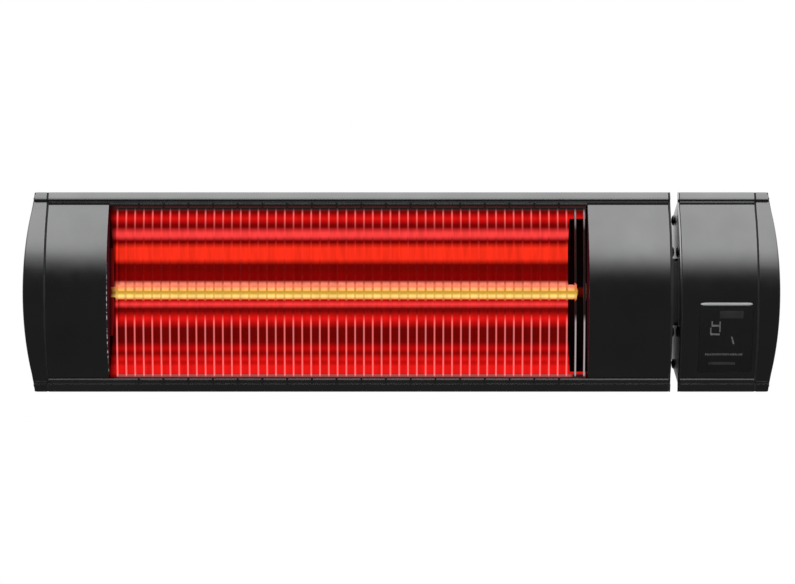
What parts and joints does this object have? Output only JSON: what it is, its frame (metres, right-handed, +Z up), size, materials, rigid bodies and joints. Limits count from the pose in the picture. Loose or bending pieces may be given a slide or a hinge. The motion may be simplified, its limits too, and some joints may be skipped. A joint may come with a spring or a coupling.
{
  "type": "electric bar heater",
  "caption": "Wall-mounted infrared bar heater: extruded black housing, guarded lamp window, control pod at the right end and a tilting bracket.",
  "frame": {"origin": "centre of the wall plate's rear face, which sits on the wall", "axes": "+X to the right seen from the front, along the heater; +Y back into the wall; +Z up"},
  "size_m": [0.5105, 0.144, 0.136],
  "materials": {
    "housing_black": "satin black anodised extrusion",
    "panel_black": "satin black lacquer",
    "cap_black": "black powder coat on a casting",
    "seal_rubber": "matte",
    "zinc_steel": "zinc plated",
    "guard_wire": "bright nickel",
    "reflector_gold": "polished",
    "ruby_quartz": "polished",
    "tungsten": "glowing",
    "steatite": "unglazed",
    "brass": "machined",
    "smoked_acrylic": "polished",
    "silver_bar": "satin silver",
    "board_green": "solder resist",
    "display_red": "dark lens",
    "relay_blue": "moulded",
    "bare_aluminium": "extruded",
    "terminal_plastic": "moulded",
    "black_plastic": "moulded",
    "bracket_black": "black powder coat"
  },
  "bodies": {
    "wall_bracket": {"wall_plate": "bracket_black"},
    "heater": {"main_housing": "housing_black", "pod_housing": "housing_black", "left_front_panel": "panel_black", "right_front_panel": "panel_black", "pod_front_panel": "panel_black", "left_end_cap": "cap_black", "right_end_cap": "cap_black", "left_cap_gasket": "seal_rubber", "right_cap_gasket": "seal_rubber", "main_end_plate": "housing_black", "pod_end_plate": "housing_black", "connecting_neck": "black_plastic", "left_cap_screw_1": "zinc_steel", "left_cap_screw_2": "zinc_steel", "left_cap_screw_3": "zinc_steel", "left_cap_screw_4": "zinc_steel", "right_cap_screw_1": "zinc_steel", "right_cap_screw_2": "zinc_steel", "right_cap_screw_3": "zinc_steel", "right_cap_screw_4": "zinc_steel", "main_plate_screw_1": "zinc_steel", "main_plate_screw_2": "zinc_steel", "main_plate_screw_3": "zinc_steel", "main_plate_screw_4": "zinc_steel", "pod_plate_screw_1": "zinc_steel", "pod_plate_screw_2": "zinc_steel", "pod_plate_screw_3": "zinc_steel", "pod_plate_screw_4": "zinc_steel", "lamp_guard": "guard_wire", "reflector": "reflector_gold", "lamp_tube": "ruby_quartz", "lamp_filament": "tungsten", "left_lamp_base": "steatite", "right_lamp_base": "steatite", "left_lamp_bracket": "zinc_steel", "right_lamp_bracket": "zinc_steel", "left_lamp_holder": "steatite", "right_lamp_holder": "steatite", "display_window": "smoked_acrylic", "light_bar": "silver_bar", "control_board": "board_green", "display_module": "display_red", "power_relay": "relay_blue", "heat_sink": "bare_aluminium", "terminal_block": "terminal_plastic", "cable_gland": "black_plastic", "gland_nut": "black_plastic", "tilt_arm": "bracket_black", "nut_plate": "zinc_steel", "left_friction_washer": "seal_rubber", "right_friction_washer": "seal_rubber", "left_pivot_bolt": "zinc_steel", "right_pivot_bolt": "zinc_steel", "left_mount_bolt": "zinc_steel", "right_mount_bolt": "zinc_steel"},
    "left_clamp": {"left_clamp_knob": "black_plastic"},
    "right_clamp": {"right_clamp_knob": "black_plastic"},
    "left_contact_pin": {"left_contact": "brass"},
    "right_contact_pin": {"right_contact": "brass"}
  },
  "joints": [
    {"name": "tilt", "type": "hinge", "parent": "wall_bracket", "child": "heater", "pos_m": [0, -0.032, 0], "axis": [1, 0, 0], "range_deg": [-30, 45]},
    {"name": "left_knob_turn", "type": "hinge", "parent": "heater", "child": "left_clamp", "pos_m": [-0.055, -0.032, 0], "axis": [-1, 0, 0], "range_deg": [0, 180]},
    {"name": "right_knob_turn", "type": "hinge", "parent": "heater", "child": "right_clamp", "pos_m": [0.055, -0.032, 0], "axis": [1, 0, 0], "range_deg": [0, 180]},
    {"name": "left_contact_slide", "type": "slide", "parent": "heater", "child": "left_contact_pin", "axis": [-1, 0, 0], "range_m": [0, 0.0025], "stiffness_N_per_m": 1200, "springref_m": -0.004},
    {"name": "right_contact_slide", "type": "slide", "parent": "heater", "child": "right_contact_pin", "axis": [1, 0, 0], "range_m": [0, 0.0025], "stiffness_N_per_m": 1200, "springref_m": -0.004}
  ]
}
